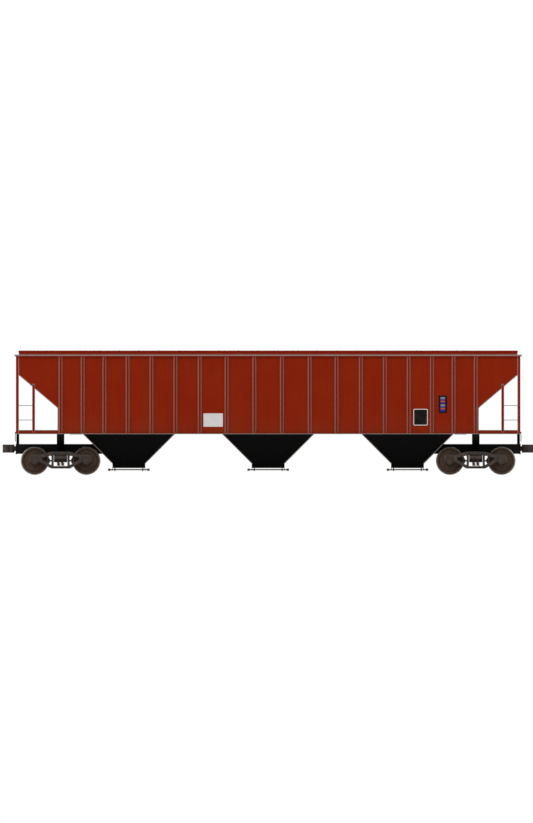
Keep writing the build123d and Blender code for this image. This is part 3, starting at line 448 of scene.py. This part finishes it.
# Lid straps over the crown and hold-down latches along the near side
lid = dict(straps=5, wide=0.06, thick=0.006, crown=0.014, inset=0.002, lap=0.001, bends=6)
latch = dict(half=0.025, out=0.008, lap=0.004, low=0.034, high=0.006)
latchToe = dict(half=0.0125, out=0.022, lap=0.006, low=0.030, high=0.012)
for number in (1, 2, 3, 4):
    low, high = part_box("hatch_lid_%d" % number)
    half = -low.y
    edgeZ = high.z - lid["crown"]
    strapX = [low.x + (high.x - low.x) * (i + 0.5) / lid["straps"] for i in range(lid["straps"])]
    bm = bmesh.new()
    for x in strapX:
        addBar(bm, (x - lid["wide"] / 2, lid["inset"] - half, 0),
               (x + lid["wide"] / 2, half - lid["inset"], lid["thick"]))
    for i in range(1, 2 * lid["bends"]):
        cutAcross(bm, (0, half * (i / lid["bends"] - 1), 0), (0, 1, 0))
    for v in bm.verts:  # bend the flat straps over the crown
        v.co.z += edgeZ + lid["crown"] * (1 - (v.co.y / half) ** 2) - lid["lap"]
    for x in strapX:
        addBar(bm, (x - latch["half"], -half - latch["out"], edgeZ - latch["low"]),
               (x + latch["half"], -half + latch["lap"], edgeZ + latch["high"]))
        addBar(bm, (x - latchToe["half"], -half - latchToe["out"], edgeZ - latchToe["low"]),
               (x + latchToe["half"], -half - latchToe["lap"], edgeZ - latchToe["high"]))
    keepPiece(bm, "hatch_lid_%d_straps" % number, "hatch_lid_%d" % number, [roofEnamel])
print("lid straps made")

# Air reservoir with domed ends, in its two bands
tank = dict(radius=0.174, dome=0.09, domeSteps=6, steps=36, bandAt=(0.14, 0.86), bandWide=0.05,
            bandThick=0.006, bandLap=0.001, footHalf=0.06, footWide=0.04, footShare=0.7)
low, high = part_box("air_reservoir")
tankX = boxMiddle("air_reservoir").x
tankZ = high.z - tank["radius"] - tank["bandThick"]
tankLong = high.y - low.y
across = Matrix.Translation((tankX, low.y, tankZ)) @ Matrix.Rotation(-pi / 2, 4, "X")
bends = [pi / 2 * i / tank["domeSteps"] for i in range(tank["domeSteps"] + 1)]
profile = [(tank["radius"] * sin(a), tank["dome"] * (1 - cos(a))) for a in bends]
profile += [(radius, tankLong - along) for radius, along in reversed(profile)]
bm = bmesh.new()
latheProfile(bm, profile, across, tank["steps"])
inner = tank["radius"] - tank["bandLap"]
outer = tank["radius"] + tank["bandThick"]
for share in tank["bandAt"]:
    start = share * tankLong - tank["bandWide"] / 2
    end = share * tankLong + tank["bandWide"] / 2
    latheProfile(bm, [(inner, start), (outer, start), (outer, end), (inner, end), (inner, start)], across,
                 tank["steps"])
    footY = low.y + share * tankLong
    footTop = tankZ - tank["radius"] * tank["footShare"]
    addBar(bm, (tankX - tank["footHalf"], footY - tank["footWide"] / 2, low.z),
           (tankX + tank["footHalf"], footY + tank["footWide"] / 2, footTop))
reservoir = keepPiece(bm, "air_reservoir_tank", "car_body", [blackEnamel])
smoothRound(reservoir)
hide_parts("air_reservoir")
print("air reservoir made")

# Hand brake: channel stanchion, gear case and a hand wheel on five spokes
stanchion = dict(half=0.040, flange=0.030, wall=0.008)
gearCase = dict(half=0.110, low=0.190, high=0.120, deep=0.062, lap=0.001, corner=0.018, cornerSteps=3)
handWheel = dict(z=2.350, rim=0.258, rimWire=0.012, rimSteps=40, wireSides=10, hub=0.045, hubEdge=0.010,
                 hubDeep=0.034, hubSteps=20, spokes=5, spokeWire=0.010, spokeLap=0.010, spokeSides=8)
low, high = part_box("hand_brake")
centre = Vector((low.x + handWheel["rimWire"], boxMiddle("hand_brake").y, handWheel["z"]))
bm = bmesh.new()
for y in (centre.y - stanchion["half"], centre.y + stanchion["half"] - stanchion["wall"]):
    addBar(bm, (high.x - stanchion["flange"], y, low.z), (high.x, y + stanchion["wall"], high.z))
addBar(bm, (high.x - stanchion["wall"], centre.y - stanchion["half"], low.z),
       (high.x, centre.y + stanchion["half"], high.z))
case = addBar(bm, (high.x - gearCase["deep"], centre.y - gearCase["half"], centre.z - gearCase["low"]),
              (high.x - gearCase["lap"], centre.y + gearCase["half"], centre.z + gearCase["high"]))
softenEdges(bm, edgesOf(case), gearCase["corner"], gearCase["cornerSteps"])
face = Matrix.Translation(centre) @ Matrix.Rotation(pi / 2, 4, "Y")
turns = [tau * i / handWheel["wireSides"] for i in range(handWheel["wireSides"] + 1)]
rim = [(handWheel["rim"] + handWheel["rimWire"] * cos(a), handWheel["rimWire"] * sin(a)) for a in turns]
latheProfile(bm, rim, face, handWheel["rimSteps"])
hub = [(0.0, -handWheel["hubEdge"]), (handWheel["hub"] - handWheel["hubEdge"], -handWheel["hubEdge"]),
       (handWheel["hub"], 0.0), (handWheel["hub"], handWheel["hubDeep"]), (0.0, handWheel["hubDeep"])]
latheProfile(bm, hub, face, handWheel["hubSteps"])
spokeStart = handWheel["hub"] - handWheel["spokeLap"]
spokeLong = handWheel["rim"] + handWheel["spokeLap"] - spokeStart
for i in range(handWheel["spokes"]):
    angle = tau * i / handWheel["spokes"]
    out = Vector((0, cos(angle), sin(angle)))
    addRound(bm, centre + out * (spokeStart + spokeLong / 2), out, handWheel["spokeWire"], spokeLong,
             handWheel["spokeSides"])
handBrake = keepPiece(bm, "hand_brake_wheel", "car_body", [blackEnamel])
smoothRound(handBrake)
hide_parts("hand_brake")
print("hand brake made")

# Uncoupling levers on the end sills, each at the left hand of someone facing that end
lever = dict(wire=0.012, z=1.455, out=8.712, outerY=1.36, innerY=0.22, drop=0.30, crank=0.26, handle=0.12,
             bracketInset=0.135, bracketHalf=0.012, bracketHigh=0.025)
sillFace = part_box("end_sills")[1].x
leverMiddle = (lever["outerY"] + lever["innerY"]) / 2
leverRods = [  # middle in y and z, way and length
    (leverMiddle, lever["z"], (0, 1, 0), lever["outerY"] - lever["innerY"]),
    (lever["outerY"], lever["z"] - lever["drop"] / 2, (0, 0, 1), lever["drop"] + 2 * lever["wire"]),
    (lever["innerY"], lever["z"] - lever["crank"] / 2, (0, 0, 1), lever["crank"] + 2 * lever["wire"]),
    (lever["outerY"] - lever["handle"] / 2, lever["z"] - lever["drop"], (0, 1, 0),
     lever["handle"] + 2 * lever["wire"]),
]
bracketY = (lever["outerY"] - lever["bracketInset"], leverMiddle, lever["innerY"] + lever["bracketInset"])
bm = bmesh.new()
for end in (-1, 1):
    for y, z, way, rodLong in leverRods:
        addRound(bm, (end * lever["out"], end * y, z), way, lever["wire"], rodLong)
    deep = sideSpan(end, sillFace, lever["out"] + lever["wire"])
    for y in bracketY:
        addBar(bm, (deep[0], end * y - lever["bracketHalf"], lever["z"] - lever["bracketHigh"]),
               (deep[1], end * y + lever["bracketHalf"], lever["z"] + lever["bracketHigh"]))
levers = keepPiece(bm, "uncoupling_lever_rods", "car_body", [blackEnamel])
smoothRound(levers)
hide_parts("uncoupling_levers")
print("uncoupling levers made")

# Coil springs in the truck nests
coil = dict(wire=0.013, turns=5.0, stepsPerTurn=20, wireSides=10, rowY=1.003, halfPitch=0.07, gap=0.002)
coilSpots = [(side, stepX, stepY) for side in (-1, 1) for stepX in (-1, 1) for stepY in (-1, 1)]
for letter in "ab":
    low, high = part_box("truck_%s_springs" % letter)
    path = (high.x - low.x) / 4 - coil["gap"] - coil["wire"]
    steps = int(coil["turns"] * coil["stepsPerTurn"])
    climb = (high.z - low.z - 2 * coil["wire"]) / steps
    bm = bmesh.new()
    for side, stepX, stepY in coilSpots:
        spot = Vector(((low.x + high.x) / 2 + stepX * coil["halfPitch"],
                       side * coil["rowY"] + stepY * coil["halfPitch"], low.z))
        upright = Matrix.Translation(spot + Vector((path, 0, coil["wire"]))) @ Matrix.Rotation(pi / 2, 4, "X")
        circle = bmesh.ops.create_circle(bm, cap_ends=False, segments=coil["wireSides"], radius=coil["wire"],
                                         matrix=upright)["verts"]
        bmesh.ops.spin(bm, geom=circle + edgesOf(circle), cent=spot, axis=(0, 0, 1), dvec=(0, 0, climb),
                       angle=coil["turns"] * tau, steps=steps, use_merge=False)
    bmesh.ops.holes_fill(bm, edges=[e for e in bm.edges if e.is_boundary], sides=coil["wireSides"])
    springs = keepPiece(bm, "coil_springs_" + letter, "truck_" + letter, [springSteel])
    for face in springs.data.polygons:
        face.use_smooth = True
    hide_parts("truck_%s_springs" % letter)
print("coil springs made")

# Running boards: bearing bars on edge, cross bars, painted side angles and brackets down to the roof
board = dict(barPitch=0.033, barThick=0.005, barDeep=0.03, crossPitch=0.1, crossThick=0.006, crossDeep=0.012,
             crossSink=0.001, angleThick=0.005, angleFoot=0.03, angleLap=0.001, bracketFrom=0.2,
             bracketPitch=1.2, bracketWide=0.05, bracketDeep=0.012)
ridgeLow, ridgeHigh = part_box("roof_end_plates")
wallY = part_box("end_sheets")[1].y
roofFall = ridgeLow.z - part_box("eave_rails")[1].z


def roofHeight(y):
    # top of the sloped roof sheets at y from the middle of the car
    return ridgeHigh.z - roofFall * (y - ridgeHigh.y) / (wallY - ridgeHigh.y)


low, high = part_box("running_boards")
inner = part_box("cross_walks")[1].y
outer = high.y
barFoot = high.z - board["barDeep"]
bars = int((outer - inner) / board["barPitch"])
grating = bmesh.new()
angles = bmesh.new()
for side in (-1, 1):
    for i in range(1, bars):
        y = side * (inner + i * (outer - inner) / bars)
        addBar(grating, (low.x, y - board["barThick"] / 2, barFoot),
               (high.x, y + board["barThick"] / 2, high.z))
    across = sideSpan(side, inner, outer)
    x = low.x + board["crossPitch"] / 2
    while x < high.x:
        addBar(grating, (x, across[0], high.z - board["crossDeep"]),
               (x + board["crossThick"], across[1], high.z - board["crossSink"]))
        x += board["crossPitch"]
    for edge, reach in ((inner, 1), (outer, -1)):
        wall = sideSpan(side, edge, edge + reach * board["angleThick"])
        foot = sideSpan(side, edge, edge + reach * board["angleFoot"])
        roofHere = roofHeight(edge)
        addBar(angles, (low.x, wall[0], roofHere - board["angleLap"]), (high.x, wall[1], high.z))
        addBar(angles, (low.x, foot[0], roofHere), (high.x, foot[1], roofHere + board["angleThick"]))
    between = sideSpan(side, inner + board["angleThick"], outer - board["angleThick"])
    x = low.x + board["bracketFrom"]
    while x < high.x:
        addBar(angles, (x, between[0], barFoot - board["bracketDeep"]),
               (x + board["bracketWide"], between[1], barFoot))
        x += board["bracketPitch"]
walkGrating = keepPiece(grating, "running_board_grating", "car_body", [zinc])
keepPiece(angles, "running_board_angles", "car_body", [boardLightenedEnamel])
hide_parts("running_boards")
print("running boards made")

# Cross walks between the boards at both ends of the trough, the same grating in a frame of angles
walk = dict(wide=0.300, angleDeep=0.040, footY=0.200, footHalf=0.008)
low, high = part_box("cross_walks")
bars = int(walk["wide"] / board["barPitch"])
crossBars = int(2 * inner / board["crossPitch"])
walkBars = bmesh.new()
for start in (low.x, high.x - walk["wide"]):
    for i in range(1, bars):
        x = start + i * walk["wide"] / bars
        addBar(walkBars, (x - board["barThick"] / 2, -inner, barFoot),
               (x + board["barThick"] / 2, inner, high.z))
    for x in (start, start + walk["wide"] - board["angleThick"]):
        addBar(walkBars, (x, -inner, high.z - walk["angleDeep"]), (x + board["angleThick"], inner, high.z))
    for i in range(crossBars):
        y = -inner + board["crossPitch"] * (i + 0.5)
        addBar(walkBars, (start + board["angleThick"], y, high.z - board["crossDeep"]),
               (start + walk["wide"] - board["angleThick"], y + board["crossThick"],
                high.z - board["crossSink"]))
    for y in (-walk["footY"], walk["footY"]):
        addBar(walkBars, (start, y - walk["footHalf"], low.z),
               (start + walk["wide"], y + walk["footHalf"], barFoot))
crossGrating = keepPiece(walkBars, "cross_walk_grating", "car_body", [zinc])
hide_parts("cross_walks")
print("cross walks made")

# Blank plates on the near side
plates = [
    dict(name="placard_pale", x=-1.895, z=1.886, wide=0.670, high=0.460, corner=0.012, colour="#C9C9C6"),
    dict(name="panel_black", x=5.252, z=1.9845, wide=0.490, high=0.566, corner=0.04, colour="#060606",
         border=0.020, borderColour="#DCDAD6"),
    dict(name="label_striped", x=6.017, z=2.430, wide=0.296, high=0.610, corner=0.01, colour="#060606",
         stripes=["#26269A", "#B84A44", "#5A4A8C", "#8A8A92"] * 2, stripeHalf=0.078, stripesHigh=0.50,
         stripeGap=0.14),
]
plateSet = dict(proud=0.0045, lap=0.001, cornerSteps=5, dustColour="#6B5A50", dust=0.12, dustMm=150)


def signEnamel(name, colour):
    # vitreous or baked sign enamel on thin plate: even colour, slight gloss, faint dust
    mat, shader, place = newFinish(name, 0.0, 0.4)
    shader.inputs["Specular IOR Level"].default_value = 0.1
    links = mat.node_tree.links
    film = addNode(mat, "ShaderNodeTexNoise", {"Vector": place.outputs["Object"],
                                               "Scale": perMetre(plateSet["dustMm"]), "Detail": 4.0})
    dust = addNode(mat, "ShaderNodeMapRange", {"Value": film.outputs["Fac"], "From Min": 0.45,
                                               "From Max": 0.8, "To Min": 0.0, "To Max": plateSet["dust"]})
    skin = addNode(mat, "ShaderNodeMix", {0: dust.outputs["Result"], 6: linearColour(colour),
                                          7: linearColour(plateSet["dustColour"])}, data_type="RGBA")
    links.new(skin.outputs[2], shader.inputs["Base Color"])
    gloss = addNode(mat, "ShaderNodeMapRange",
                    {"Value": film.outputs["Fac"], "To Min": 0.3, "To Max": 0.55})
    links.new(gloss.outputs["Result"], shader.inputs["Roughness"])
    return mat


sheetLow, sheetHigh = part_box("side_sheets")
plateBack = sheetLow.y + plateSet["lap"]
plateFront = sheetLow.y - plateSet["proud"]
nearFront = plateFront + plateSet["lap"] / 2
for plate in plates:
    bm = bmesh.new()
    half = (plate["wide"] / 2, plate["high"] / 2)
    addBar(bm, (plate["x"] - half[0], plateFront, plate["z"] - half[1]),
           (plate["x"] + half[0], plateBack, plate["z"] + half[1]))
    corners = [e for e in bm.edges if abs(e.verts[0].co.y - e.verts[1].co.y) > plateSet["lap"]]
    softenEdges(bm, corners, plate["corner"], plateSet["cornerSteps"])
    mats = [signEnamel(plate["name"] + " enamel", plate["colour"])]
    if "border" in plate:
        mats.append(signEnamel(plate["name"] + " border enamel", plate["borderColour"]))
        front = [f for f in bm.faces if f.calc_center_median().y < nearFront]
        ring = bmesh.ops.inset_region(bm, faces=front, thickness=plate["border"], use_even_offset=True)
        for face in ring["faces"]:
            face.material_index = 1
    if "stripes" in plate:
        for code in plate["stripes"]:
            mats.append(signEnamel(plate["name"] + " stripe " + str(len(mats)), code))
        rows = len(plate["stripes"])
        pitch = plate["stripesHigh"] / rows
        footZ = plate["z"] - plate["stripesHigh"] / 2
        shares = (plate["stripeGap"], 1 - plate["stripeGap"])
        for side in (-1, 1):
            cutAcross(bm, (plate["x"] + side * plate["stripeHalf"], 0, 0), (1, 0, 0))
        for row in range(rows):
            for share in shares:
                cutAcross(bm, (0, 0, footZ + pitch * (row + share)), (0, 0, 1))
        for face in bm.faces:
            middle = face.calc_center_median()
            row = (middle.z - footZ) / pitch
            inRow = 0 < row < rows and shares[0] < row % 1 < shares[1]
            if inRow and middle.y < nearFront and abs(middle.x - plate["x"]) < plate["stripeHalf"]:
                face.material_index = 1 + int(row)
    keepPiece(bm, plate["name"], "car_body", mats)
print("blank plates made")

# Roof battens over the sheet seams, from the board's edge to the eave
batten = dict(firstX=-8.4, lastX=8.5, pitch=1.05, wide=0.05, high=0.012, innerY=0.745, outerY=1.53,
              edge=0.003)
bm = bmesh.new()
x = batten["firstX"]
while x < batten["lastX"]:
    for side in (-1, 1):
        across = sideSpan(side, batten["innerY"], batten["outerY"])
        verts = addBar(bm, (x, across[0], 0), (x + batten["wide"], across[1], batten["high"]))
        for v in verts:  # lay the strip on the slope
            v.co.z += roofHeight(abs(v.co.y))
    x += batten["pitch"]
softenEdges(bm, bm.edges[:], batten["edge"])
keepPiece(bm, "roof_battens", "car_body", [roofEnamel])
print("roof battens made")

# Edging: flat bars round the end openings, lips on the sill feet and welded angles down the hopper corners,
# all in a painted highlight grey
edging = dict(leg=0.028, proud=0.006, lip=0.003, lipHigh=0.022, lipLap=0.001, slopeShare=0.985,
              hopperLeg=0.024, toeHalf=0.565, capHigh=0.034, edge=0.001)


def addEdgeBar(bm, start, end, wide, thick):
    # a flat bar laid from start to end, its thickness across the car
    run = Vector(end) - Vector(start)
    middle = (Vector(start) + Vector(end)) / 2
    turn = Vector((1, 0, 0)).rotation_difference(run).to_matrix().to_4x4()
    size = Matrix.Diagonal((run.length, thick, wide, 1.0))
    bmesh.ops.create_cube(bm, size=1.0, matrix=Matrix.Translation(middle) @ turn @ size)


cornerLow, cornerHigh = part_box("end_side_sheets")
sillLow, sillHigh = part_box("side_sills")
chuteHalf = -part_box("outlet_chutes")[0].y
slopeRun = Vector((cornerHigh.x - sheetHigh.x, 0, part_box("end_sheets")[0].z - cornerLow.z))
postShare = (endPost["middleX"] - sheetHigh.x) / slopeRun.x
headZ = cornerLow.z + slopeRun.z * postShare + endPost["lap"] + edging["capHigh"] / 2
half = edging["leg"] / 2
bm = bmesh.new()
for side in (-1, 1):
    y = side * (sheetHigh.y + edging["proud"] / 2)
    for end in (-1, 1):
        foot = Vector((end * sheetHigh.x, y, cornerLow.z))
        slope = Vector((end * slopeRun.x, 0, slopeRun.z))
        inward = Vector((-end * slopeRun.z, 0, slopeRun.x)).normalized() * half
        addEdgeBar(bm, foot + inward, foot + slope * edging["slopeShare"] + inward, edging["leg"],
                   edging["proud"])
        uprightX = end * (sheetHigh.x - half)
        addEdgeBar(bm, (uprightX, y, sheetLow.z), (uprightX, y, cornerLow.z + half), edging["leg"],
                   edging["proud"])
        span = sideSpan(end, sheetHigh.x, cornerHigh.x)  # an angle stands on the sill across the opening
        for inset, tall in ((edging["proud"], edging["leg"]), (edging["leg"], edging["proud"])):
            wall = sideSpan(side, sheetHigh.y, sheetHigh.y - inset)
            addBar(bm, (span[0], wall[0], sillHigh.z), (span[1], wall[1], sillHigh.z + tall))
        headX = end * endPost["middleX"]  # a plate closes the head of the middle post
        addEdgeBar(bm, (headX - endPost["half"], y, headZ), (headX + endPost["half"], y, headZ),
                   edging["capHigh"], edging["proud"])
    lip = sideSpan(side, sillHigh.y - edging["lipLap"], sillHigh.y - edging["lipLap"] + edging["lip"])
    addBar(bm, (sillLow.x, lip[0], sillLow.z), (sillHigh.x, lip[1], sillLow.z + edging["lipHigh"]))
    for number in (1, 2, 3):
        low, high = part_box("hopper_%d_side_sheets" % number)
        middle = (low.x + high.x) / 2
        for end in (-1, 1):
            top = (middle + end * (high.x - low.x) / 2, side * high.y, sillLow.z)
            toe = (middle + end * edging["toeHalf"], side * chuteHalf, low.z)
            addEdgeBar(bm, toe, top, edging["hopperLeg"], edging["hopperLeg"])
softenEdges(bm, bm.edges[:], edging["edge"])
keepPiece(bm, "edge_angles", "car_body", [edgeHighlightEnamel])
print("edging made")

# Platform toes: a ribbed plate carries each platform on to the foot of its end slope
toe = dict(thick=0.006, ribY=0.60, ribThick=0.008, ribDeep=0.040, ribInset=0.040)
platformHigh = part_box("end_platforms")[1]
platformIn = min(abs(v.co.x) for v in nodes["end_platforms"].data.vertices)
underside = platformHigh.z - toe["thick"]
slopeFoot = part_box("hopper_3_side_sheets")[1].x + underside - sillLow.z
half = toe["ribThick"] / 2
bm = bmesh.new()
for end in (-1, 1):
    span = sideSpan(end, slopeFoot, platformIn)
    verts = addBar(bm, (span[0], -platformHigh.y, underside), (span[1], platformHigh.y, platformHigh.z))
    middle = (slopeFoot + platformIn) / 2
    for v in verts:  # the inner edge leans with the slope sheet
        if abs(v.co.x) < middle and v.co.z > underside + toe["thick"] / 2:
            v.co.x += end * toe["thick"]
    rib = sideSpan(end, slopeFoot + toe["ribInset"], platformIn)
    for y in (-toe["ribY"], toe["ribY"]):
        addBar(bm, (rib[0], y - half, underside - toe["ribDeep"]), (rib[1], y + half, underside))
keepPiece(bm, "platform_toe_plates", "car_body", [zinc])
print("platform toes made")

# Camera, light and floor
view = dict(scale=28.357, far=2000, place=(-0.057, -40, 2.180), tilt=90)
studio = dict(sun=1.1, sunSoft=30, sunWay=(0.35, 0.75, -0.6), sky=0.75, white=(1, 1, 1, 1), floorHalf=400,
              floorColour="#FAFAF9")
camera = bpy.data.cameras.new("sideView")
camera.type = "ORTHO"
camera.ortho_scale = view["scale"]
camera.clip_end = view["far"]
viewer = bpy.data.objects.new("sideView", camera)
viewer.location = view["place"]
viewer.rotation_euler = (radians(view["tilt"]), 0, 0)
bpy.context.scene.collection.objects.link(viewer)
bpy.context.scene.camera = viewer

key = bpy.data.lights.new("softKey", "SUN")
key.energy = studio["sun"]
key.angle = radians(studio["sunSoft"])
keyLamp = bpy.data.objects.new("softKey", key)
keyLamp.rotation_euler = Vector(studio["sunWay"]).to_track_quat("-Z", "Y").to_euler()
bpy.context.scene.collection.objects.link(keyLamp)

world = bpy.data.worlds.new("studio")
bpy.context.scene.world = world
world.use_nodes = True
sky = world.node_tree.nodes["Background"]
sky.inputs["Strength"].default_value = studio["sky"]
sky.inputs["Color"].default_value = studio["white"]
seen = addNode(world, "ShaderNodeBackground", {"Color": studio["white"], "Strength": 1.0})
ray = addNode(world, "ShaderNodeLightPath")
either = addNode(world, "ShaderNodeMath", {0: ray.outputs["Is Camera Ray"], 1: ray.outputs["Is Glossy Ray"]},
                 operation="MAXIMUM")
anyRay = addNode(world, "ShaderNodeMath",
                 {0: either.outputs["Value"], 1: ray.outputs["Is Transmission Ray"]}, operation="MAXIMUM")
blend = addNode(world, "ShaderNodeMixShader",
                {0: anyRay.outputs["Value"], 1: sky.outputs[0], 2: seen.outputs[0]})
world.node_tree.links.new(blend.outputs[0], world.node_tree.nodes["World Output"].inputs["Surface"])

floorGrid = bmesh.new()
bmesh.ops.create_grid(floorGrid, x_segments=1, y_segments=1, size=studio["floorHalf"])
floorMesh = bpy.data.meshes.new("floor")
floorGrid.to_mesh(floorMesh)
floorGrid.free()
ground = bpy.data.objects.new("floor", floorMesh)
bpy.context.scene.collection.objects.link(ground)
floorFinish, floorShader = newFinish("pale studio floor", 0.0, 0.8)[:2]
floorShader.inputs["Base Color"].default_value = linearColour(studio["floorColour"])
floorMesh.materials.append(floorFinish)

bpy.context.scene.view_settings.view_transform = "Standard"
print("camera and light set")
